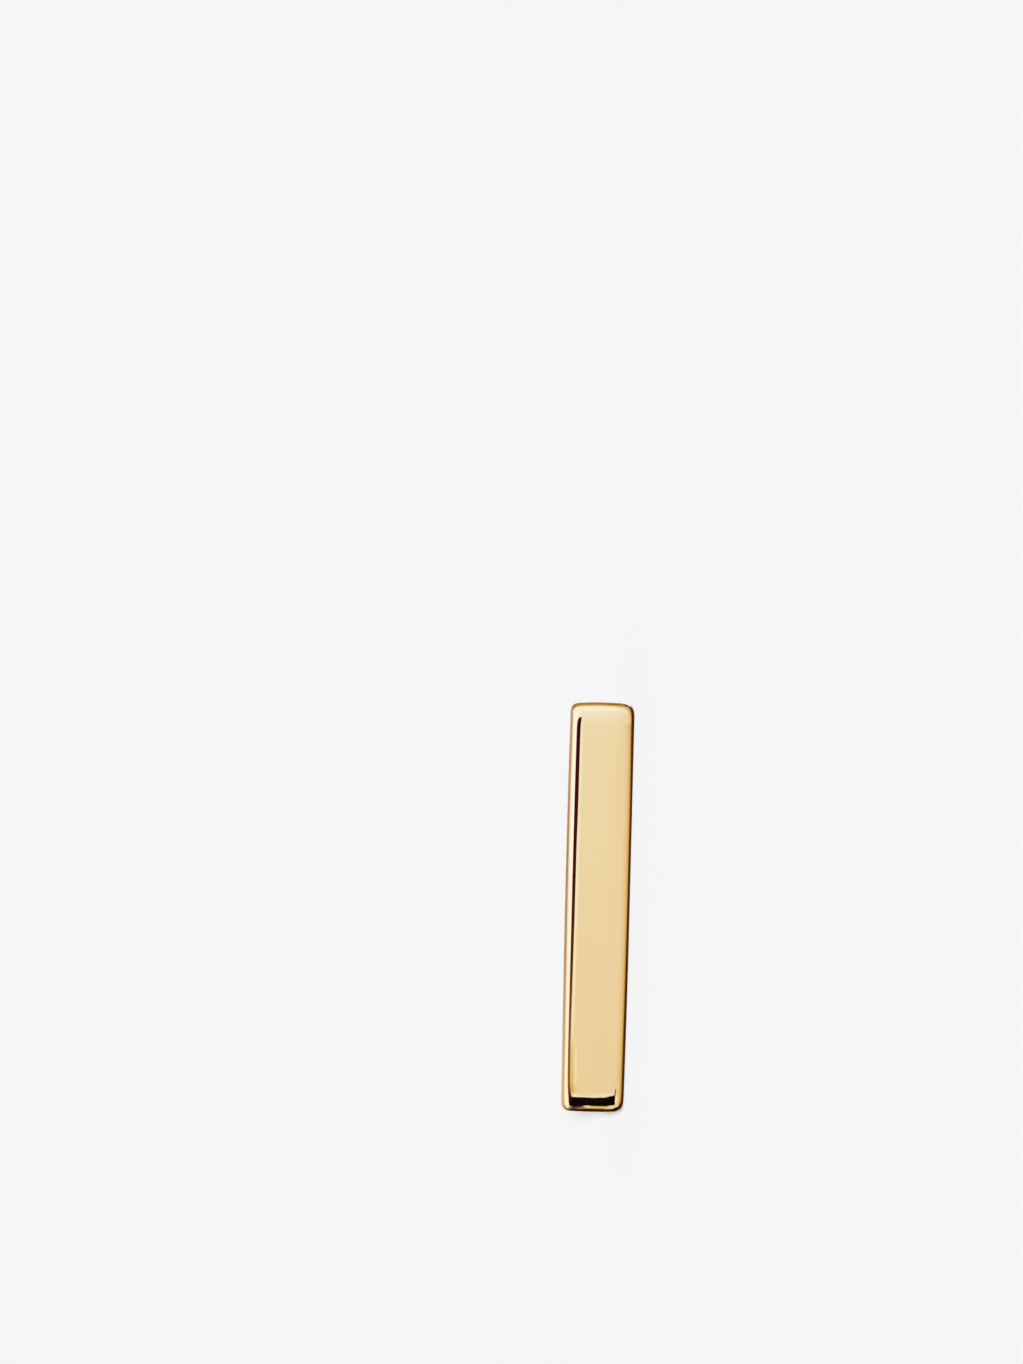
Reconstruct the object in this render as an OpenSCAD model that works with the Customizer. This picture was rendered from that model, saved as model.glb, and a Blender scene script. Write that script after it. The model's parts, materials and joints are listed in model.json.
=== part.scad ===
/* [Bar] */
// Length of the bar, from its top end to its bottom end
bar_l = 15; // [10:0.5:30]
// Width of the bar's flat face
bar_w = 2.3; // [1.8:0.05:4]
// Thickness of the bar, from its face to its back
bar_t = 1.3; // [1.1:0.05:2]
// Radius of the rounded front edges along both sides
front_edge_r = 0.36; // [0.1:0.02:0.4]
// Radius of the softer front edges across both ends
end_edge_r = 0.6; // [0.2:0.05:0.6]
// Radius of the edges all round the back
back_edge_r = 0.3; // [0.1:0.05:0.4]
// Radius of the bar's four corners, seen from the front
corner_r = 0.3; // [0.1:0.05:0.6]

/* [Ear post] */
// Diameter of the post
post_d = 0.8; // [0.6:0.05:1]
// Length of the post behind the bar, with its domed tip
post_l = 9.5; // [7:0.5:12]
// Distance from the bar's top end to the middle of the post
post_from_top = 3; // [1.5:0.25:7]
// Radius of the solder fillet round the foot of the post
solder_r = 0.15; // [0.05:0.05:0.25]

/* [Hidden] */
$fn = 64;
gold = "#E8C983";

// Radius of the post and of its domed tip
post_r = post_d / 2;
// Place of the post along the bar, whose top end points to +X
post_x = bar_l / 2 - post_from_top;
// From the middle of the bar's thickness back to the centre of the domed tip
tip_reach = bar_t / 2 + post_l - post_r;

// Laid down, the stud rests on the lower back edge of the bar and on the tip of its post.
// Both are round, so the bar leans back by the angle of the line that touches both from below.
edge_to_tip = post_l - post_r + back_edge_r;
edge_below_post = bar_w / 2 - back_edge_r;
lean = atan2(edge_below_post, edge_to_tip)
     + asin((back_edge_r - post_r) / norm([edge_below_post, edge_to_tip]));

// Height of the bar's middle over the surface, when it leans back
rest_z = tip_reach * sin(lean) + post_r;
// Foremost and rearmost points from the bar's middle, when it leans back
front_y = -(bar_t / 2 - front_edge_r) * cos(lean) - (bar_w / 2 - front_edge_r) * sin(lean) - front_edge_r;
back_y = tip_reach * cos(lean) + post_r;

// A rectangle with one radius on its two corners at -Y and another on its two corners at +Y
module eased_rect(width, depth, low_r, high_r) {
    translate([-width / 2, low_r - depth / 2]) square([width, depth - low_r - high_r]);
    translate([low_r - width / 2, -depth / 2]) square([width - 2 * low_r, low_r]);
    translate([high_r - width / 2, depth / 2 - high_r]) square([width - 2 * high_r, high_r]);
    for (side = [-1, 1]) {
        translate([side * (width / 2 - low_r), low_r - depth / 2]) circle(low_r);
        translate([side * (width / 2 - high_r), depth / 2 - high_r]) circle(high_r);
    }
}

// The bar, with its face at -Y: what its front view, its cross-section and its side profile share
module bar() {
    color(gold)
    intersection() {
        rotate([90, 0, 0])
            linear_extrude(bar_t, center = true) eased_rect(bar_l, bar_w, corner_r, corner_r);
        rotate([0, 90, 0])
            linear_extrude(bar_l, center = true) eased_rect(bar_w, bar_t, front_edge_r, back_edge_r);
        linear_extrude(bar_w, center = true) eased_rect(bar_l, bar_t, end_edge_r, back_edge_r);
    }
}

// The plain round post, from inside the bar to its domed tip
module ear_post() {
    color(gold)
    translate([post_x, 0, 0]) rotate([-90, 0, 0])
    rotate_extrude() {
        square([post_r, tip_reach]);
        translate([0, tip_reach]) intersection() {
            circle(post_r);
            square(post_r);
        }
    }
}

// The hollow fillet of solder between the post and the bar's back
module solder_fillet() {
    color(gold)
    translate([post_x, bar_t / 2, 0]) rotate([-90, 0, 0])
    rotate_extrude() difference() {
        square([post_r + solder_r, solder_r]);
        translate([post_r + solder_r, solder_r]) circle(solder_r);
    }
}

// The bar and the post, soldered into one piece of metal and laid down
module bar_stud() {
    translate([0, -(front_y + back_y) / 2, rest_z]) rotate([-lean, 0, 0]) {
        bar();
        ear_post();
        solder_fillet();
    }
}

bar_stud();
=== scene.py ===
import json
import math

import bmesh
import bpy
from mathutils import Matrix, Vector


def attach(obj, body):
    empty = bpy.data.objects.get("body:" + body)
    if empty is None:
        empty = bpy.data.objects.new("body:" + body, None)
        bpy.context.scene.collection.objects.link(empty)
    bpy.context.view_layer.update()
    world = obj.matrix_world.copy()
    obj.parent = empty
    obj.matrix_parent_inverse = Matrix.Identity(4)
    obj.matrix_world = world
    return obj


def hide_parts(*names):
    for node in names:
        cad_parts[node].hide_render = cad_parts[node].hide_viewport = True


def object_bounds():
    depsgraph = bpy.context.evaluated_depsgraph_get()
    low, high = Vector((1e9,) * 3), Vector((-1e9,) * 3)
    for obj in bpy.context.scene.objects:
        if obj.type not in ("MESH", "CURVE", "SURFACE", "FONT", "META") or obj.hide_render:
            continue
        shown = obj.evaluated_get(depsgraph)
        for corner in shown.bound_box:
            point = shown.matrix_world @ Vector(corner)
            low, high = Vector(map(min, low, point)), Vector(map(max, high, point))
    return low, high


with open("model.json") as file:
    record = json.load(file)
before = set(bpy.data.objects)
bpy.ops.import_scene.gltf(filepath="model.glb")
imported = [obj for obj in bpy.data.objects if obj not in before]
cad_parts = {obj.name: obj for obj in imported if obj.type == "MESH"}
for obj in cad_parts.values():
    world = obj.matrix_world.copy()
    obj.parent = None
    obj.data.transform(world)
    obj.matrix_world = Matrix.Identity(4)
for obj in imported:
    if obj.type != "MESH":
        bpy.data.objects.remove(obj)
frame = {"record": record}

cad_low, cad_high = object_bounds()
scene = bpy.context.scene

# Sizes of the stud, in millimetres. The bar's length, the post's place and radius and the way
# that the stud lies come from the frame, and the rest repeats the construction.
mm = 0.001
mounts = {mount["name"]: mount for mount in frame["record"]["mounts"]}
through = Vector(mounts["ear_post"]["axis"])
post_r = mounts["ear_post"]["dims"]["r_mm"]
bar_l = (cad_high.x - cad_low.x) / mm
bar_w = 2.3
bar_t = 1.3
front_edge_r = 0.36
end_edge_r = 0.6
back_edge_r = 0.3
corner_r = 0.3
post_l = 9.5
solder_r = 0.15
post_x = mounts["ear_post"]["pos_m"][0] / mm

# The laid stud leans back by this angle, and this is where the middle of the bar then is
lean = math.atan2(-through.z, through.y)
bar_middle = Vector(mounts["lobe_face"]["pos_m"]) - through * bar_t / 2 * mm


# Camera

photo_size = (1023, 1364)
bar_centre_px = (596.2, 906.6)
px_per_mm = 27.28
tilt_in_photo = math.radians(1.49)
camera_distance = 200
camera_over_face = math.radians(4.35)


def make_camera():
    """Looks at the bar's face from a little over its own normal, with the bar's length upright."""
    camera = bpy.data.objects.new("camera", bpy.data.cameras.new("camera"))
    scene.collection.objects.link(camera)
    scene.camera = camera
    focal_px = px_per_mm * camera_distance
    camera.data.sensor_width = 36
    camera.data.lens = camera.data.sensor_width * focal_px / max(photo_size)
    camera.data.clip_start = 0.01
    camera.data.clip_end = 10

    elevation = lean + camera_over_face
    look = Vector((0, math.cos(elevation), -math.sin(elevation)))
    along_bar = Vector((1, 0, 0))
    across_bar = look.cross(along_bar)
    right = math.cos(tilt_in_photo) * across_bar + math.sin(tilt_in_photo) * along_bar
    up = math.cos(tilt_in_photo) * along_bar - math.sin(tilt_in_photo) * across_bar
    turned = Matrix((right, up, -look)).transposed()

    # The bar stands low and right of the picture's middle, so the camera is aimed off it
    off_right = bar_centre_px[0] - photo_size[0] / 2
    off_down = bar_centre_px[1] - photo_size[1] / 2
    to_bar = Vector((off_right, -off_down, -focal_px))
    aim = to_bar.rotation_difference(Vector((0, 0, -1))).to_matrix()
    place = Matrix.Translation(bar_middle - look * camera_distance * mm)
    camera.matrix_world = place @ (turned @ aim).to_4x4()


# Shader helpers

def add_node(tree, kind, sockets=None, **settings):
    """A node with its settings, and each named socket given a value or joined to an output."""
    node = tree.nodes.new(kind)
    for name, value in settings.items():
        setattr(node, name, value)
    for name, value in (sockets or {}).items():
        if isinstance(value, bpy.types.NodeSocket):
            tree.links.new(value, node.inputs[name])
        else:
            node.inputs[name].default_value = value
    return node


def set_ramp(node, stops):
    """Gives a colour ramp its stops, each a position and a linear colour."""
    elements = node.color_ramp.elements
    while len(elements) < len(stops):
        elements.new(1)
    for element, (position, colour) in zip(elements, stops):
        element.position = position
        element.color = (*colour, 1)


def calculate(tree, operation, *values):
    """One step of arithmetic on numbers and outputs."""
    return add_node(tree, "ShaderNodeMath", dict(enumerate(values)), operation=operation).outputs[0]


def blend(tree, value, start, end, first=0.0, last=1.0):
    """Goes softly from a first number to a last one, while a value goes from start to end."""
    return add_node(tree, "ShaderNodeMapRange", {
        "Value": value, "From Min": start, "From Max": end, "To Min": first, "To Max": last},
        interpolation_type="SMOOTHSTEP").outputs[0]


# Floor, room and light. The floor is white and partly lit from below, as a light table is, and
# a soft key lamp and a low lamp light it from the front. The polished metal sees bright and dark
# cards instead, which only reflections show.

floor_white = 0.9216
# Share of the floor's tone that comes from below
table_share = 0.35
room_white = 0.92
floor_size = 4
# Share of the light from above that comes from all round
fill_share = 0.10


def make_room():
    """A little light from all round, and the floor's own tone where the camera sees past it."""
    scene.view_settings.view_transform = "Standard"
    scene.cycles.caustics_reflective = False
    world = bpy.data.worlds.new("white_room")
    world.use_nodes = True
    scene.world = world
    tree = world.node_tree
    tree.nodes.clear()
    path = add_node(tree, "ShaderNodeLightPath")
    white = (1, 1, 1, 1)
    fill = add_node(tree, "ShaderNodeBackground", {"Color": white, "Strength": fill_share})
    seen = add_node(tree, "ShaderNodeBackground", {"Color": white, "Strength": floor_white})
    mirrored = add_node(tree, "ShaderNodeBackground", {"Color": white, "Strength": room_white})
    fill_or_seen = add_node(tree, "ShaderNodeMixShader", {
        0: path.outputs["Is Camera Ray"], 1: fill.outputs[0], 2: seen.outputs[0]})
    room = add_node(tree, "ShaderNodeMixShader", {
        0: path.outputs["Is Glossy Ray"], 1: fill_or_seen.outputs[0], 2: mirrored.outputs[0]})
    add_node(tree, "ShaderNodeOutputWorld", {"Surface": room.outputs[0]})


def hang_lamp(name, elevation, turn, spread, share):
    """A far lamp in front, turned towards the bar's top end, with its share of the light from above."""
    lamp = bpy.data.objects.new(name, bpy.data.lights.new(name, "SUN"))
    scene.collection.objects.link(lamp)
    elevation, turn = math.radians(elevation), math.radians(turn)
    level = math.cos(elevation)
    to_lamp = Vector((level * math.sin(turn), -level * math.cos(turn), math.sin(elevation)))
    lamp.rotation_euler = to_lamp.to_track_quat("Z", "Y").to_euler()
    lamp.data.angle = math.radians(spread)
    lamp.data.energy = share * math.pi / math.sin(elevation)
    lamp.visible_glossy = False


def hang_lamps():
    """A key lamp, and a low lamp whose shade shows just below the bar's foot."""
    hang_lamp("key_lamp", elevation=32, turn=4, spread=9, share=0.37)
    hang_lamp("low_lamp", elevation=11, turn=3, spread=4.5, share=0.53)


# Painted shade and a painted warm glow on the floor in the gap under the bar, in place of its shadow and
# the warm brown that the gold throws there. Its front line bends back round the bar's corners and
# follows the bar's slight taper towards its bottom end.
painted_gap_shade = (0.05, 0.011, 0.002)
painted_gap_glow = (0.052, 0.011, 0.001)
# How far it reaches before the bar's flat underside, and behind it
gap_ahead = 0.05
gap_behind = 0.42
# Its two ends along the bar, then where each bend starts, its power and its amount
gap_top_end = 7.44
gap_bottom_end = 7.48
gap_corner_from = 6.7
gap_corner_power = 5
gap_top_bend = 6.0
gap_bottom_bend = 3.6
gap_taper_from = 0.5
gap_taper_power = 2
gap_taper = 0.0068
# Softness of its long sides and of its two ends
gap_soft = 0.05
gap_end_soft = 0.02


def bend_past(tree, along, start, power, amount):
    """How far a line has bent back at a distance along it, in metres."""
    past = calculate(tree, "MULTIPLY_ADD", along, 1 / mm, -start)
    past = calculate(tree, "MAXIMUM", past, 0.0)
    return calculate(tree, "MULTIPLY", calculate(tree, "POWER", past, power), amount * mm)


def painted_gap_mask(tree):
    """Where the floor lies under the bar, which gets the painted shade and glow."""
    spot = add_node(tree, "ShaderNodeTexCoord").outputs["Object"]
    split = add_node(tree, "ShaderNodeSeparateXYZ", {0: spot})
    upward, depth = split.outputs["X"], split.outputs["Y"]
    downward = calculate(tree, "MULTIPLY", upward, -1.0)
    bends = (
        bend_past(tree, upward, gap_corner_from, gap_corner_power, gap_top_bend),
        bend_past(tree, downward, gap_corner_from, gap_corner_power, gap_bottom_bend),
        bend_past(tree, downward, gap_taper_from, gap_taper_power, gap_taper),
    )
    from_front = depth
    for bend in bends:
        from_front = calculate(tree, "SUBTRACT", from_front, bend)
    gap_front = cad_low.y + (front_edge_r - gap_ahead) * mm
    gap_back = bar_middle.y + (bar_t / 2 - back_edge_r + gap_behind) * mm
    inside = blend(tree, from_front, gap_front - gap_soft * mm, gap_front + gap_soft * mm)
    limits = (
        (depth, gap_back, gap_soft),
        (upward, gap_top_end * mm, gap_end_soft),
        (downward, gap_bottom_end * mm, gap_end_soft),
    )
    for along, end, soft in limits:
        before = blend(tree, along, end - soft * mm, end + soft * mm, 1.0, 0.0)
        inside = calculate(tree, "MULTIPLY", inside, before)
    return inside


def make_floor():
    """A white light table, with painted shade and a painted warm glow in the gap under the bar."""
    bpy.ops.mesh.primitive_plane_add(size=floor_size, location=(0, 0, 0))
    floor = bpy.context.object
    floor.name = "floor"
    paint = bpy.data.materials.new("light_table")
    paint.use_nodes = True
    tree = paint.node_tree
    tree.nodes.clear()
    # Mask of the painted shade and painted glow in the gap under the bar
    under = painted_gap_mask(tree)
    above, below = (1 - table_share) * floor_white, table_share * floor_white
    colour = add_node(tree, "ShaderNodeMixRGB", {
        "Fac": under, "Color1": (above, above, above, 1), "Color2": (*painted_gap_shade, 1)})
    own_light = add_node(tree, "ShaderNodeMixRGB", {
        "Fac": under, "Color1": (below, below, below, 1), "Color2": (*painted_gap_glow, 1)})
    matt = add_node(tree, "ShaderNodeBsdfDiffuse", {"Color": colour.outputs[0]})
    lit = add_node(tree, "ShaderNodeEmission", {"Color": own_light.outputs[0]})
    both = add_node(tree, "ShaderNodeAddShader", {0: matt.outputs[0], 1: lit.outputs[0]})
    add_node(tree, "ShaderNodeOutputMaterial", {"Surface": both.outputs[0]})
    floor.data.materials.append(paint)


def around_bar(x, angle, reach):
    """A point round the bar, in metres: 0 degrees is level in front of it, 90 over it, 180 behind it."""
    turn = math.radians(angle)
    y = bar_middle.y - reach * mm * math.cos(turn)
    z = bar_middle.z + reach * mm * math.sin(turn)
    return Vector((x * mm, y, z))


def glow(name, colour):
    """A card's even light."""
    light = bpy.data.materials.new(name)
    light.use_nodes = True
    tree = light.node_tree
    tree.nodes.clear()
    emission = add_node(tree, "ShaderNodeEmission", {"Color": (*colour, 1)})
    add_node(tree, "ShaderNodeOutputMaterial", {"Surface": emission.outputs[0]})
    return light


def hang_card(name, pairs, light):
    """A card through pairs of points, its two long edges, seen by reflections only."""
    corners = [corner for pair in pairs for corner in pair]
    panels = [(2 * i, 2 * i + 1, 2 * i + 3, 2 * i + 2) for i in range(len(pairs) - 1)]
    mesh = bpy.data.meshes.new(name)
    mesh.from_pydata(corners, [], panels)
    card = bpy.data.objects.new(name, mesh)
    scene.collection.objects.link(card)
    card.data.materials.append(light)
    card.visible_camera = False
    card.visible_diffuse = False
    card.visible_transmission = False
    card.visible_volume_scatter = False
    card.visible_shadow = False


def ramp_value(tree, split, axis, bow):
    """Where a spot is along a ramp: a place on an axis, or the turn round the bar's top corner."""
    if axis == "Turn":
        aside = calculate(tree, "SUBTRACT", split.outputs["X"], top_corner[0] * mm)
        ahead = calculate(tree, "SUBTRACT", top_corner[1] * mm, split.outputs["Y"])
        return calculate(tree, "ARCTAN2", aside, ahead)
    if not bow:
        return split.outputs[axis]
    height = split.outputs["Z"]
    squared = calculate(tree, "MULTIPLY", height, height)
    return calculate(tree, "MULTIPLY_ADD", squared, -bow / mm, split.outputs[axis])


def graded_glow(name, *ramps, bow=0):
    """A card's light that is the product of its ramps, each from one place to another in millimetres,
    or in degrees of turn. With a bow, a ramp is read further forward the higher the spot is."""
    light = bpy.data.materials.new(name)
    light.use_nodes = True
    tree = light.node_tree
    tree.nodes.clear()
    spot = add_node(tree, "ShaderNodeTexCoord").outputs["Object"]
    split = add_node(tree, "ShaderNodeSeparateXYZ", {0: spot})
    colour = None
    for axis, start, end, stops in ramps:
        unit = math.radians(1) if axis == "Turn" else mm
        value = ramp_value(tree, split, axis, bow)
        share = add_node(tree, "ShaderNodeMapRange", {
            "Value": value, "From Min": start * unit, "From Max": end * unit})
        shade = add_node(tree, "ShaderNodeValToRGB", {"Fac": share.outputs[0]})
        set_ramp(shade, [((place - start) / (end - start), stop) for place, stop in stops])
        if colour is None:
            colour = shade.outputs["Color"]
        else:
            colour = add_node(tree, "ShaderNodeVectorMath", {
                0: colour, 1: shade.outputs["Color"]}, operation="MULTIPLY").outputs[0]
    emission = add_node(tree, "ShaderNodeEmission", {"Color": colour})
    add_node(tree, "ShaderNodeOutputMaterial", {"Surface": emission.outputs[0]})
    return light


def wall(x, y, high, low=0):
    """An upright edge, in millimetres."""
    return Vector((x, y, low)) * mm, Vector((x, y, high)) * mm


def strips(over, *rows):
    """Lying edges at a height over the floor. Each row is a place along the bar, a front and a back."""
    return [(Vector((x, front, over)) * mm, Vector((x, back, over)) * mm) for x, front, back in rows]


def arch(x, low_angle, high_angle, reach=80):
    """An edge that spans an angle over the bar."""
    return around_bar(x, low_angle, reach), around_bar(x, high_angle, reach)


# Where the cards hang: before and behind the bar, and past its two ends
card_front = bar_middle.y / mm - 100
card_near = bar_middle.y / mm - 90
card_back = bar_middle.y / mm + 100
card_top = bar_l / 2 + 8
card_bottom = -bar_l / 2 - 8
# Front edge of the cards that lie on the floor, and their seam beside the face's top corner
floor_front = -104
corner_seam = 6.75

# Heights over the floor of the cards that lie on it, so that each kind covers the ones before
floor_layer = 0.01
far_layer = 0.015
end_layer = 0.02
inlay_layer = 0.025
rim_layer = 0.03

# The strip of light that the bottom end mirrors, and the seam between its low and its high flag
strip_front = -12.4
strip_back = -3
strip_high = 1.05
flag_seam = 1.3
# Where the high flag ends and the shade over the strip starts, and how high the shade is there
shade_front = -8.7
shade_high = 6.3

# The top corner of the bar's face, over the floor, and the tones of a black flag and of the face
top_corner = (7.2, -5.35)
black = (0.004, 0.001, 0.0)
face_tone = (0.848, 0.810, 0.800)


def hang_front_cards():
    """What the flat face and the soft edge to its left mirror."""
    # Edges of the cards: heights over the floor, then places along the bar
    near_high = 62
    halo_low = 12.5
    halo_from = -7.5
    warm_from = -19
    low_edge_to = -17.5
    front = graded_glow("front_card", ("X", -100, 100, (
        (-34, (0.98, 1.10, 1.60)),
        (-29, (0.92, 0.98, 1.20)),
        (-25, (0.87, 0.88, 0.92)),
        (-20, (0.85, 0.82, 0.80)),
        (-13, (0.840, 0.790, 0.745)),
        (-5, (0.850, 0.828, 0.825)),
        (0, (0.854, 0.845, 0.860)),
        (9, (0.862, 0.885, 0.950)),
        (15, (0.872, 0.892, 0.993)),
        (19, (0.893, 0.919, 1.04)),
        (32, (0.885, 0.948, 1.21)),
        (42, (0.870, 0.965, 1.28)),
        (56, (0.898, 1.027, 1.39)),
        (79, (0.932, 1.058, 1.52)),
    )), ("Z", 0, 40, (
        (0.2, (0.995, 0.985, 0.96)),
        (0.7, (1.0, 1.0, 1.0)),
        (2.6, (1.0, 1.0, 1.01)),
    )))
    hang_card("front_card", (wall(-100, card_front, 58), wall(100, card_front, 58)), front)

    halo = graded_glow("halo_card", ("X", -8, 12, (
        (halo_from, (0.94, 0.86, 0.62)),
        (-4, (0.98, 0.95, 0.76)),
        (0, (1.0, 0.98, 0.86)),
        (9, (1.0, 1.0, 1.0)),
    )), ("Z", 12, 42, (
        (halo_low, (0.85, 0.90, 1.01)),
        (16, (0.87, 0.95, 1.12)),
        (22, (0.93, 1.02, 1.36)),
        (30, (0.966, 1.06, 1.58)),
    )))
    hang_card("halo_card", (
        wall(halo_from, card_near, near_high, halo_low),
        wall(110, card_near, near_high, halo_low),
    ), halo)

    warm = graded_glow("warm_card", ("X", -13, -7, (
        (-12, (1.0, 1.0, 1.0)),
        (-8.3, (1.12, 1.35, 1.8)),
    )), ("Z", 6, 50, (
        (7, (0.84, 0.79, 0.745)),
        (12.6, (0.77, 0.70, 0.47)),
        (23.5, (0.69, 0.55, 0.28)),
        (46, (0.72, 0.457, 0.245)),
    )))
    hang_card("warm_card", (
        wall(warm_from, card_near, near_high, 7),
        wall(halo_from, card_near, near_high, 7),
    ), warm)

    edge = graded_glow("edge_light", ("X", -32, -17, (
        (-30, (1.01, 1.12, 1.54)),
        (-25, (0.975, 1.017, 1.227)),
        (-21, (0.900, 0.920, 1.0)),
        (-18, (0.860, 0.830, 0.80)),
    )))
    hang_card("edge_light", (
        wall(-38, card_near, 14, 4.2),
        wall(warm_from, card_near, 14, 4.2),
    ), edge)
    low_edge = graded_glow("low_edge_light", ("X", -30, -15, (
        (-24, (0.94, 1.0, 1.25)),
        (-19, (0.914, 0.90, 1.0)),
        (low_edge_to, (0.87, 0.84, 0.84)),
    )))
    hang_card("low_edge_light", (
        wall(-32, card_front + 1, 1.1),
        wall(low_edge_to, card_front + 1, 0.9),
    ), low_edge)


def hang_overhead_cards():
    """The cream light over the bar and behind it, and the flag that draws the dark line in it."""
    softbox_half = 150
    softbox_reach = 120
    overhead = graded_glow("overhead_softbox", ("Y", -60, 110, (
        (-51, (1.02, 1.18, 1.80)),
        (0, (1.02, 1.22, 1.90)),
        (28, (0.99, 1.12, 1.62)),
        (45, (0.99, 1.07, 1.45)),
        (69, (0.87, 0.88, 1.09)),
        (84, (0.80, 0.62, 0.55)),
        (98, (0.52, 0.33, 0.23)),
    )), ("X", -12, 12, (
        (-9, (0.97, 0.95, 0.78)),
        (0, (1.0, 0.99, 0.93)),
        (9, (1.0, 1.0, 1.03)),
    )))
    hang_card("overhead_softbox", [
        (around_bar(-softbox_half, angle, softbox_reach), around_bar(softbox_half, angle, softbox_reach))
        for angle in range(40, 161, 10)
    ], overhead)
    behind = graded_glow("back_card", ("X", -12, 12, (
        (-9, (0.66, 0.53, 0.38)),
        (-3, (0.50, 0.31, 0.20)),
        (3, (0.46, 0.27, 0.17)),
        (9, (0.54, 0.35, 0.25)),
    )))
    hang_card("back_card", (wall(-30, card_back, 55), wall(30, card_back, 55)), behind)
    line = graded_glow("overhead_flag", ("X", -40, 16, (
        (-40, (0.04, 0.006, 0.0)),
        (-24, (0.065, 0.009, 0.0)),
        (-16, (0.15, 0.040, 0.0)),
        (-12, (0.22, 0.080, 0.005)),
        (-9, (0.27, 0.13, 0.03)),
        (-6, (0.17, 0.085, 0.03)),
        (-3.3, (0.11, 0.025, 0.003)),
        (-0.7, (0.085, 0.011, 0.001)),
        (2, (0.065, 0.004, 0.0)),
        (9, (0.045, 0.002, 0.0)),
    )))
    hang_card("overhead_flag", (
        arch(-110, 10, 48),
        arch(-60, 10, 45),
        arch(-24, 17, 45),
        arch(-20, 21, 46.5),
        arch(-16, 24.5, 49),
        arch(-12, 28.5, 54),
        arch(-9.3, 32.5, 60),
        arch(-7.2, 35, 61),
        arch(-4.5, 29, 56),
        arch(-1, 23.5, 51),
        arch(3.3, 21, 50.5),
        arch(5, 18, 49.5),
        arch(9, 18.5, 51),
        arch(15, 16, 46),
        arch(24, 14.5, 22),
    ), line)


def hang_top_cards():
    """What the bar's top end mirrors: cream on the side of the face, brown behind, and painted shade
    near the bar.
    """
    side = graded_glow("side_card", ("Y", -60, 4, (
        (-60, (1.0, 1.18, 1.80)),
        (-17, (0.932, 1.058, 1.53)),
        (-10.3, (0.960, 1.080, 1.46)),
        (-8.2, (0.915, 0.935, 1.02)),
        (-5.7, (0.73, 0.571, 0.358)),
        (-3.4, (0.454, 0.262, 0.08)),
        (0, (0.405, 0.21, 0.075)),
    )), bow=0.06)
    hang_card("side_card", (wall(card_top, -18, 45), wall(card_top, 40, 45)), side)
    # Painted reflection of the floor past the top end, darkening to brown as painted shade near the bar
    foot = graded_glow("side_card_foot", ("Turn", 0, 120, (
        (8, (1.0, 1.0, 1.0)),
        (20, (1.0, 1.06, 1.25)),
        (45, (1.03, 1.14, 1.47)),
        (62, (1.02, 1.10, 1.30)),
        (78, (0.94, 0.90, 0.68)),
        (90, (1.0, 0.80, 0.60)),
    )), ("Y", -12, -4.4, (
        (-7, (0.878, 0.885, 0.93)),
        (-5.9, (0.876, 0.883, 0.91)),
        (-5.54, (0.868, 0.875, 0.88)),
        (-5.39, (0.820, 0.825, 0.80)),
        (-5.25, (0.798, 0.730, 0.56)),
        (-5.1, (0.675, 0.530, 0.26)),
        (-4.88, (0.448, 0.280, 0.08)),
        (-4.7, (0.18, 0.07, 0.01)),
    )))
    hang_card("side_card_foot", strips(
        floor_layer,
        (card_top, floor_front, 15),
        (corner_seam, floor_front, -4),
    ), foot)
    # Painted shade: the floor under and behind the bar's top end as the gold mirrors it, in brown
    brown = graded_glow("side_card_brown", ("Y", -5, 1, (
        (-4.8, (0.64, 0.47, 0.23)),
        (-4.4, (0.58, 0.405, 0.175)),
        (-4.2, (0.46, 0.27, 0.09)),
        (-3.6, (0.35, 0.18, 0.06)),
        (-2.8, (0.34, 0.175, 0.035)),
        (-2.3, (0.38, 0.205, 0.048)),
        (0, (0.42, 0.23, 0.06)),
    )))
    hang_card("side_card_brown", strips(end_layer, (8.2, -4.6, -1), (card_top, -4.9, 15)), brown)


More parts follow.
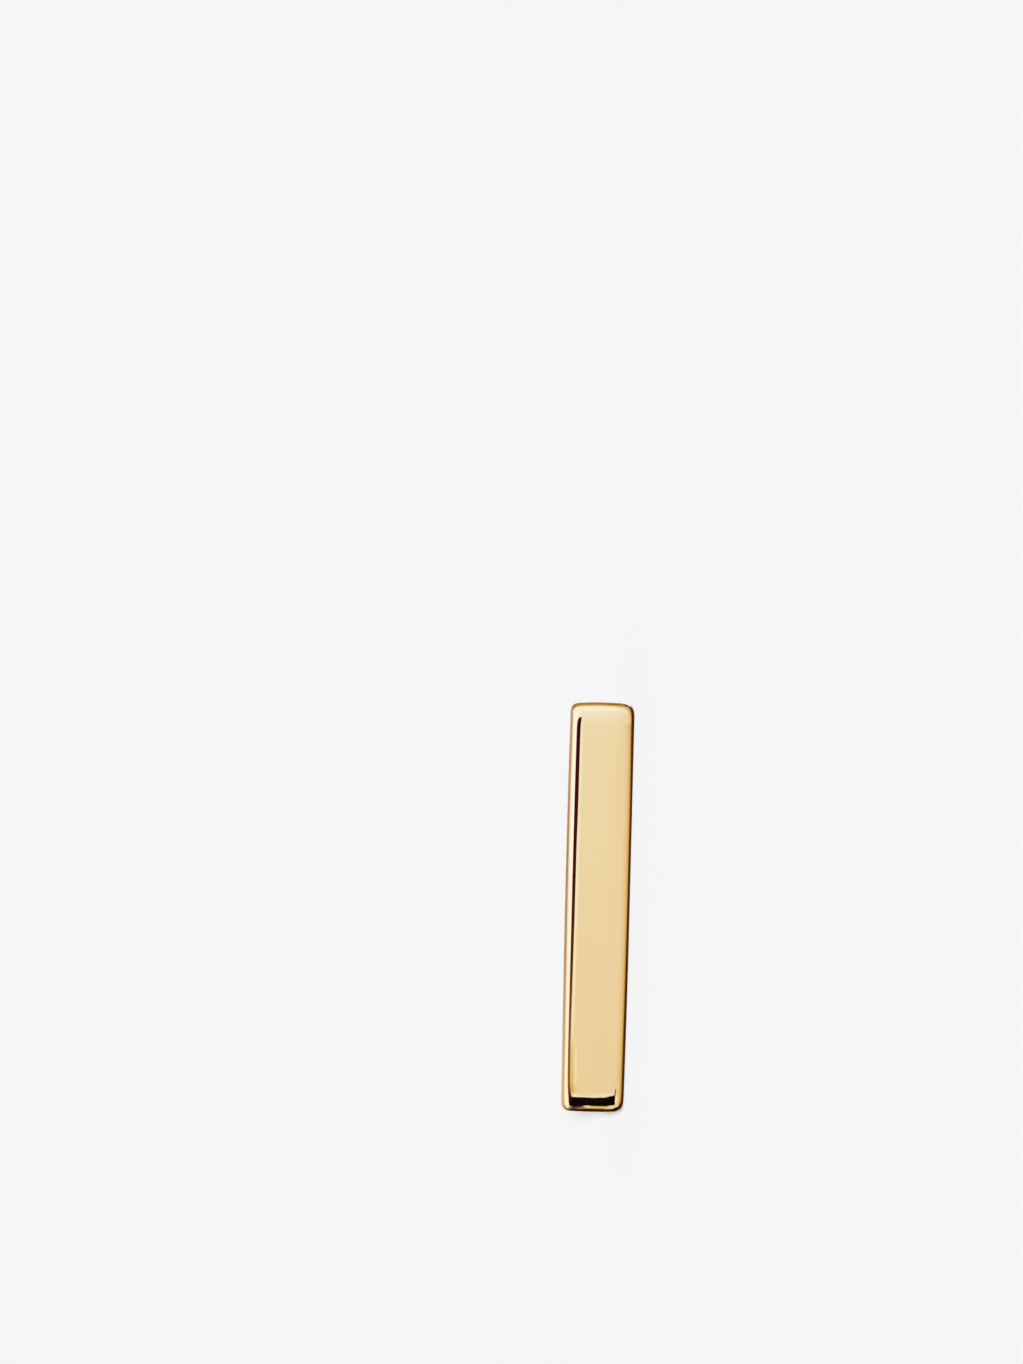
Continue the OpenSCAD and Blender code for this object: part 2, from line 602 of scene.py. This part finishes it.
def hang_bottom_cards():
    """What the bar's bottom end mirrors: a black flag, a thin strip of light, brown behind and painted
    shade under the bar.
    """
    flag = graded_glow("end_flag", ("Z", 0, 20, (
        (5.5, black),
        (10.5, (0.034, 0.004, 0.0)),
        (17, (0.09, 0.014, 0.0)),
    )))
    hang_card("end_flag", (
        (Vector((card_bottom, -48, 0)) * mm, Vector((card_bottom, -38.5, flag_seam)) * mm),
        wall(card_bottom, strip_front, flag_seam),
    ), flag)
    hang_card("end_flag_high", (
        wall(card_bottom, -41, 36, flag_seam),
        wall(card_bottom, -26, 22.5, flag_seam),
        wall(card_bottom, -12.6, 9.2, flag_seam),
        wall(card_bottom, shade_front, shade_high, flag_seam),
    ), flag)
    hang_card("end_flag_foot", strips(
        end_layer,
        (card_bottom, -48, strip_front),
        (-11.6, -29, -9.4),
        (-9.35, -18, -7.35),
        (-8.15, -12.1, -6.22),
        (-7.55, -9.16, -5.77),
        (-7.45, -8.6, -6.03),
        (-7.13, -6.95, -6.05),
        (-6.98, -6.35, -6.06),
    ), flag)
    ahead = glow("end_edge_light", (0.94, 0.98, 1.27))
    hang_card("end_edge_light", strips(
        end_layer,
        (card_bottom, -62, -48),
        (-11.6, -37, -29),
        (-8.15, -14.6, -12.1),
        (-7.55, -10.6, -9.16),
        (-7.13, -7.6, -6.95),
        (-6.98, -6.8, -6.35),
    ), ahead)
    hook = glow("end_hook", (0.22, 0.13, 0.045))
    hang_card("end_hook", strips(inlay_layer, (-7.0, -6.42, -5.92), (-6.68, -6.22, -5.98)), hook)

    thin = graded_glow("end_strip", ("Y", -14, -3, (
        (-12.2, (0.02, 0.005, 0.0)),
        (-9.6, (1.0, 1.0, 1.0)),
        (-7, (1.0, 1.0, 1.0)),
        (-4.6, (0.04, 0.02, 0.0)),
    )), ("Z", 0, 2, (
        (0.7, (0.82, 0.66, 0.30)),
        (1.0, (0.864, 0.742, 0.72)),
    )))
    hang_card("end_strip", (
        wall(card_bottom, strip_front, strip_high),
        wall(card_bottom, strip_back, strip_high),
    ), thin)
    strip_foot = glow("end_strip_foot", (0.82, 0.80, 0.62))
    hang_card("end_strip_foot", strips(
        end_layer,
        (card_bottom, strip_front, -5),
        (-9.35, -7.35, -5),
        (-8.15, -6.22, -5),
        (-7.55, -5.77, -5.1),
        (-7.4, -5.45, -5.1),
    ), strip_foot)
    shade = graded_glow("end_shade", ("Z", 1, 7, (
        (1.1, (0.50, 0.43, 0.34)),
        (1.2, (0.24, 0.16, 0.14)),
        (1.5, (0.15, 0.09, 0.07)),
        (1.8, (0.086, 0.041, 0.030)),
        (2.4, (0.090, 0.047, 0.024)),
        (3.0, (0.13, 0.09, 0.044)),
        (3.7, (0.296, 0.253, 0.195)),
        (5.0, (0.51, 0.49, 0.48)),
        (6.3, (0.80, 0.85, 0.95)),
    )))
    hang_card("end_shade", (
        wall(card_bottom, shade_front, shade_high, strip_high),
        wall(card_bottom, strip_back, shade_high, strip_high),
    ), shade)
    rim = graded_glow("end_rim", ("Z", 0, 20, (
        (1.2, (0.02, 0.006, 0.0)),
        (2.1, (0.107, 0.057, 0.015)),
        (3.1, (0.247, 0.145, 0.05)),
        (8, (0.30, 0.19, 0.08)),
    )))
    hang_card("end_rim", (
        wall(card_bottom, strip_back, 4.6),
        wall(card_bottom, 0, 4.7),
        wall(card_bottom, 4.5, 7.5),
        wall(card_bottom, 11, 14.5),
        wall(card_bottom, 22, 19),
    ), rim)
    # Painted shade: the floor under and behind the bar's bottom end as the gold mirrors it, near black
    rim_foot = graded_glow("end_rim_foot", ("X", -16, -7, (
        (-15.5, (0.033, 0.020, 0.004)),
        (-11, (0.050, 0.035, 0.006)),
        (-9, (0.045, 0.020, 0.003)),
        (-8, (0.020, 0.004, 0.0)),
    )))
    hang_card("end_rim_foot", strips(
        rim_layer,
        (card_bottom, -5.0, 22),
        (-9.7, -5.12, 18),
        (-8.53, -5.26, 2),
        (-7.84, -5.36, -3),
        (-7.52, -5.22, -4),
        (-7.35, -5.12, -4),
        (-7.22, -5.07, -4),
        (-7.15, -4.95, -4),
    ), rim_foot)
    cream = graded_glow("end_cream", ("Y", -6.2, -5.3, (
        (-5.85, (0.93, 1.08, 1.40)),
        (-5.7, (0.88, 0.98, 1.10)),
        (-5.5, (0.815, 0.864, 0.82)),
        (-5.4, (0.800, 0.760, 0.60)),
    )))
    hang_card("end_cream", strips(
        inlay_layer,
        (-7.5, -5.95, -5.45),
        (-7.4, -6.03, -5.35),
        (-6.9, -6.05, -5.5),
    ), cream)


def hang_foot_cards():
    """Painted reflection of the floor: the tone of the face, with painted shade darkening to brown
    towards the bar.
    """
    lip = graded_glow("lip_card", ("X", -8, 8, (
        (-7.1, (1.06, 0.98, 1.11)),
        (-6.6, (1.0, 1.0, 0.98)),
        (-3, (1.01, 1.02, 1.04)),
        (0, (1.02, 1.03, 1.07)),
        (6.3, (1.015, 1.03, 1.06)),
    )), ("Y", -12, -4.4, (
        (-12, face_tone),
        (-7, face_tone),
        (-6.2, (0.848, 0.792, 0.778)),
        (-5.9, (0.832, 0.775, 0.734)),
        (-5.7, (0.823, 0.750, 0.680)),
        (-5.5, (0.807, 0.709, 0.600)),
        (-5.38, (0.777, 0.661, 0.476)),
        (-5.25, (0.708, 0.564, 0.285)),
        (-5.13, (0.596, 0.391, 0.132)),
        (-4.95, (0.359, 0.210, 0.045)),
        (-4.8, (0.199, 0.090, 0.012)),
    )))
    hang_card("lip_card", strips(
        floor_layer,
        (card_bottom, floor_front, -3),
        (-7, floor_front, -4.4),
        (corner_seam, floor_front, -4.4),
    ), lip)
    past_top = glow("far_card_top", (0.89, 0.965, 1.24))
    hang_card("far_card_top", strips(
        far_layer,
        (card_top, floor_front, -18),
        (110, floor_front, -18),
    ), past_top)
    past_bottom = glow("far_card_bottom", (0.90, 0.95, 1.20))
    hang_card("far_card_bottom", strips(
        far_layer,
        (-60, floor_front, -50),
        (card_bottom, floor_front, -50),
    ), past_bottom)


# The stud is modelled upright in millimetres, with the middle of its bar at the origin: X runs
# to the bar's top end, -Y is its face, and Z runs across the face. Then it is laid down.
# Its bar is a box of a few loops that is smoothed. A loop this share of a radius away from an
# edge eases that edge to about that radius.
loop_share = 1 / 0.57
# How far the corners of the two ends fall back behind the middle of the end
top_dome = 0.07
bottom_dome = 0.03
# The bar's fullest width as a share of its full one, and what it loses towards its two ends
fullest = 0.99
top_slim = 0.024
top_slim_from = 0.55
taper = 0.042
taper_power = 1.2
# Half the length of the patch of the back that the post is drawn from, and the inset round it
post_patch = 0.7
patch_inset = 0.05
# Places of the loops along the bar and of the one through it, and of the rows along its back
loops_along = (-4.8, -2.4, 0, 2, post_x - post_patch, post_x, post_x + post_patch)
loop_through = 0.05
back_row = 0.8
# Turns at which the fillet and the domed tip have a ring, in degrees
fillet_turns = (25, 50, 75, 90)
dome_turns = (25, 50, 72, 84)
# Heights of the rings that keep the shaft straight, and the last one's distance from its end
shaft_rings = (0.3, 1.2, 4.5)
last_ring = 0.6
# Places nearer than this are the same
close = 1e-4


def select_where(stud, parts, wanted):
    """Selects the vertices, edges or faces of the stud whose middle is wanted, and nothing else."""
    bpy.ops.mesh.select_all(action="DESELECT")
    bpy.ops.mesh.select_mode(type={"verts": "VERT", "edges": "EDGE", "faces": "FACE"}[parts])
    mesh = bmesh.from_edit_mesh(stud.data)
    for part in getattr(mesh, parts):
        spots = [part.co] if parts == "verts" else [vert.co for vert in part.verts]
        part.select_set(bool(wanted(sum(spots, Vector()) / len(spots))))
    bmesh.update_edit_mesh(stud.data)


def saw_loops(places, axis):
    """Cuts a loop round the bar at each place along one of its axes."""
    for place in places:
        bpy.ops.mesh.select_all(action="SELECT")
        bpy.ops.mesh.bisect(plane_co=axis * place, plane_no=axis, threshold=close)


def width_at(x):
    """The bar is fullest over its upper half and narrows a little to both ends, more so downwards."""
    share = x / (bar_l / 2)
    if share < 0:
        return fullest - taper * abs(share) ** taper_power
    return fullest - top_slim * max(0, share - top_slim_from) / (1 - top_slim_from)


def shape_bar():
    """The bar as a box of a few loops, eased at its edges, with softly domed ends."""
    bpy.ops.mesh.primitive_cube_add(size=1, scale=(bar_l, bar_t, bar_w))
    stud = bpy.context.object
    stud.name = "polished_bar_stud"
    end_x = bar_l / 2
    side_z = bar_w / 2
    back_y = bar_t / 2
    end_loop = end_x - end_edge_r * loop_share
    face_row = side_z - front_edge_r * loop_share
    bpy.ops.object.mode_set(mode="EDIT")
    saw_loops((-end_loop, *loops_along, end_loop), Vector((1, 0, 0)))
    saw_loops((loop_through,), Vector((0, 1, 0)))
    saw_loops((-face_row, 0, face_row), Vector((0, 0, 1)))

    # Behind the face, the four corners are tighter than the face's eased edges
    corner_loop = end_x - corner_r * loop_share
    for end in (-1, 1):
        select_where(stud, "verts", lambda at: (
            abs(at.x - end * end_loop) < close and at.y > -back_y + close))
        bpy.ops.transform.translate(value=(end * (corner_loop - end_loop), 0, 0))
    for side in (-1, 1):
        select_where(stud, "verts", lambda at: (
            abs(at.z - side * face_row) < close and at.y > -back_y + close))
        bpy.ops.transform.translate(value=(0, 0, side * (back_row - face_row)))

    # Softly domed ends, then the slight fullness of the middle
    for end, dome in ((-1, bottom_dome), (1, top_dome)):
        for row in (face_row, back_row, side_z):
            select_where(stud, "verts", lambda at: (
                abs(at.x - end * end_x) < close and abs(abs(at.z) - row) < close))
            bpy.ops.transform.translate(value=(-end * dome * (row / side_z) ** 2, 0, 0))
    mesh = bmesh.from_edit_mesh(stud.data)
    for x in sorted({round(vert.co.x, 4) for vert in mesh.verts}):
        select_where(stud, "verts", lambda at: abs(at.x - x) < close)
        bpy.ops.transform.resize(value=(1, 1, width_at(x)), center_override=(x, 0, 0))
    bpy.ops.object.mode_set(mode="OBJECT")
    return stud


def post_rings():
    """Height over the bar's back and radius of each ring: the fillet, the post and its domed tip."""
    fillet = [
        (solder_r * (1 - math.cos(turn)), post_r + solder_r * (1 - math.sin(turn)))
        for turn in map(math.radians, fillet_turns)
    ]
    straight_end = post_l - post_r
    heights = (*shaft_rings, straight_end - last_ring, straight_end)
    shaft = [(height, post_r) for height in heights]
    dome = [
        (straight_end + post_r * math.sin(turn), post_r * math.cos(turn))
        for turn in map(math.radians, dome_turns)
    ]
    return fillet + shaft + dome


def raise_post(stud):
    """Draws the post out of the bar's back: an eight-sided foot, then one extrusion for each ring."""
    bpy.ops.object.mode_set(mode="EDIT")
    select_where(stud, "faces", lambda at: (
        at.y > bar_t / 2 - close and abs(at.x - post_x) < post_patch and abs(at.z) < back_row))
    bpy.ops.mesh.inset(thickness=patch_inset)
    bpy.ops.mesh.dissolve_faces()
    bpy.ops.transform.tosphere(value=1)
    # Smoothing draws an eight-sided ring in by this much
    drawn_in = (2 + math.cos(math.pi / 4)) / 3
    foot_r = ring_radius(stud)
    wanted_r = (post_r + solder_r) / drawn_in
    bpy.ops.transform.resize(value=(wanted_r / foot_r, 1, wanted_r / foot_r))
    height_now, radius_now = 0, post_r + solder_r
    for height, radius in post_rings():
        bpy.ops.mesh.extrude_region_move(
            TRANSFORM_OT_translate={"value": (0, height - height_now, 0)})
        bpy.ops.transform.resize(value=(radius / radius_now, 1, radius / radius_now))
        height_now, radius_now = height, radius
    bpy.ops.object.mode_set(mode="OBJECT")


def ring_radius(stud):
    """The radius of the selected ring round the post."""
    mesh = bmesh.from_edit_mesh(stud.data)
    ring = [vert.co for vert in mesh.verts if vert.select]
    middle = sum(ring, Vector()) / len(ring)
    return sum((spot - middle).length for spot in ring) / len(ring)


def lay_down(stud):
    """Leans the stud back on its lower edge and the tip of its post, at its real size."""
    stud.rotation_euler = (-lean, 0, 0)
    stud.scale = (mm, mm, mm)
    stud.location = bar_middle
    bpy.ops.object.transform_apply(location=True, rotation=True, scale=True)


def make_stud():
    """The whole stud, one piece of metal."""
    bpy.ops.object.select_all(action="DESELECT")
    stud = shape_bar()
    raise_post(stud)
    smooth = stud.modifiers.new("smooth", "SUBSURF")
    smooth.levels = smooth.render_levels = 3
    bpy.ops.object.modifier_apply(modifier=smooth.name)
    bpy.ops.object.shade_smooth()
    lay_down(stud)
    return stud


# Gold. Its patterns are laid out on the upright bar, in millimetres.

gold_light = (0.985, 0.775, 0.415, 1)
gold_deep = (0.975, 0.765, 0.405, 1)
# The roughness of the face, and what each trace of the work adds to it
face_roughness = 0.045
line_roughness = 0.012
smudge_roughness = 0.045
back_roughness = 0.11
solder_roughness = 0.12
# Height of each relief, and the distance from ring to ring of the turned post
wave_height = 0.0025
line_height = 0.00006
ring_height = 0.0002
ripple_height = 0.004
ring_pitch = 0.14
# Size of each pattern's patches along the bar, through it and across it
tone_patch = (2.5, 1.5, 1.2)
line_patch = (6.0, 0.06, 0.06)
smudge_patch = (1.6, 1.1, 0.9)
wave_patch = (3.0, 2.5, 2.0)
ripple_patch = (0.25, 0.25, 0.25)


def on_upright_bar(tree):
    """A spot on the laid stud, as millimetres from the middle of its upright bar."""
    spot = add_node(tree, "ShaderNodeTexCoord").outputs["Object"]
    return add_node(tree, "ShaderNodeMapping", {
        "Vector": spot, "Location": bar_middle, "Rotation": (-lean, 0, 0), "Scale": (mm, mm, mm)},
        vector_type="TEXTURE").outputs[0]


def cloudiness(tree, place, sizes, detail=2.0):
    """Soft noise whose patches have these sizes along X, Y and Z."""
    drawn = add_node(tree, "ShaderNodeMapping", {"Vector": place, "Scale": [1 / size for size in sizes]})
    return add_node(tree, "ShaderNodeTexNoise", {
        "Vector": drawn.outputs[0], "Scale": 1.0, "Detail": detail}).outputs["Fac"]


def from_post(tree, split):
    """Distance from the middle line of the post."""
    aside = calculate(tree, "SUBTRACT", split.outputs["X"], post_x)
    squares = [calculate(tree, "MULTIPLY", side, side) for side in (aside, split.outputs["Z"])]
    return calculate(tree, "SQRT", calculate(tree, "ADD", *squares))


def polished_gold():
    """Yellow gold, mirror polished by hand on its face and duller behind, where the post is soldered."""
    gold = bpy.data.materials.new("polished_gold")
    gold.use_nodes = True
    tree = gold.node_tree
    shader = tree.nodes["Principled BSDF"]
    shader.inputs["Metallic"].default_value = 1

    place = on_upright_bar(tree)
    split = add_node(tree, "ShaderNodeSeparateXYZ", {0: place})
    through_bar = split.outputs["Y"]
    off_post = from_post(tree, split)
    behind = blend(tree, through_bar, bar_t / 2 - back_edge_r, bar_t / 2)
    on_post = blend(tree, through_bar, bar_t / 2 + solder_r, bar_t / 2 + 3 * solder_r)
    near_post = blend(tree, off_post, post_r + solder_r, post_r + 2 * solder_r, 1.0, 0.0)
    off_shaft = calculate(tree, "SUBTRACT", 1.0, on_post)
    solder = calculate(tree, "MULTIPLY", calculate(tree, "MULTIPLY", behind, near_post), off_shaft)

    # Slow changes of tone, as in any plated face
    tone = cloudiness(tree, place, tone_patch)
    colour = add_node(tree, "ShaderNodeMixRGB", {
        "Fac": blend(tree, tone, 0.3, 0.7), "Color1": gold_deep, "Color2": gold_light})
    tree.links.new(colour.outputs[0], shader.inputs["Base Color"])

    # Fine lines along the bar from the polishing wheel, and the faint smudges of fingers
    lines = cloudiness(tree, place, line_patch, detail=3.0)
    smudges = blend(tree, cloudiness(tree, place, smudge_patch, detail=4.0), 0.55, 0.75)
    roughness = calculate(tree, "MULTIPLY_ADD", lines, line_roughness, face_roughness)
    roughness = calculate(tree, "MULTIPLY_ADD", smudges, smudge_roughness, roughness)
    roughness = calculate(tree, "MULTIPLY_ADD", behind, back_roughness, roughness)
    roughness = calculate(tree, "MULTIPLY_ADD", solder, solder_roughness, roughness)
    tree.links.new(roughness, shader.inputs["Roughness"])

    # The face is flat only as far as a hand polishes it. The post keeps the rings of its turning,
    # and the solder its small ripples.
    waves = cloudiness(tree, place, wave_patch, detail=1.0)
    ripples = cloudiness(tree, place, ripple_patch)
    turned = calculate(tree, "SINE", calculate(tree, "MULTIPLY", through_bar, 2 * math.pi / ring_pitch))
    rings = calculate(tree, "MULTIPLY", on_post, turned)
    height = calculate(tree, "MULTIPLY", waves, wave_height)
    height = calculate(tree, "MULTIPLY_ADD", lines, line_height, height)
    height = calculate(tree, "MULTIPLY_ADD", rings, ring_height, height)
    rippled_solder = calculate(tree, "MULTIPLY", solder, ripples)
    height = calculate(tree, "MULTIPLY_ADD", rippled_solder, ripple_height, height)
    bump = add_node(tree, "ShaderNodeBump", {"Height": height, "Strength": 1.0, "Distance": mm})
    tree.links.new(bump.outputs["Normal"], shader.inputs["Normal"])
    return gold


make_camera()
make_room()
hang_lamps()
make_floor()
hang_front_cards()
hang_overhead_cards()
hang_top_cards()
hang_bottom_cards()
hang_foot_cards()
stud = make_stud()
stud.data.materials.append(polished_gold())
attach(stud, "root")
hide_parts("bar_stud")
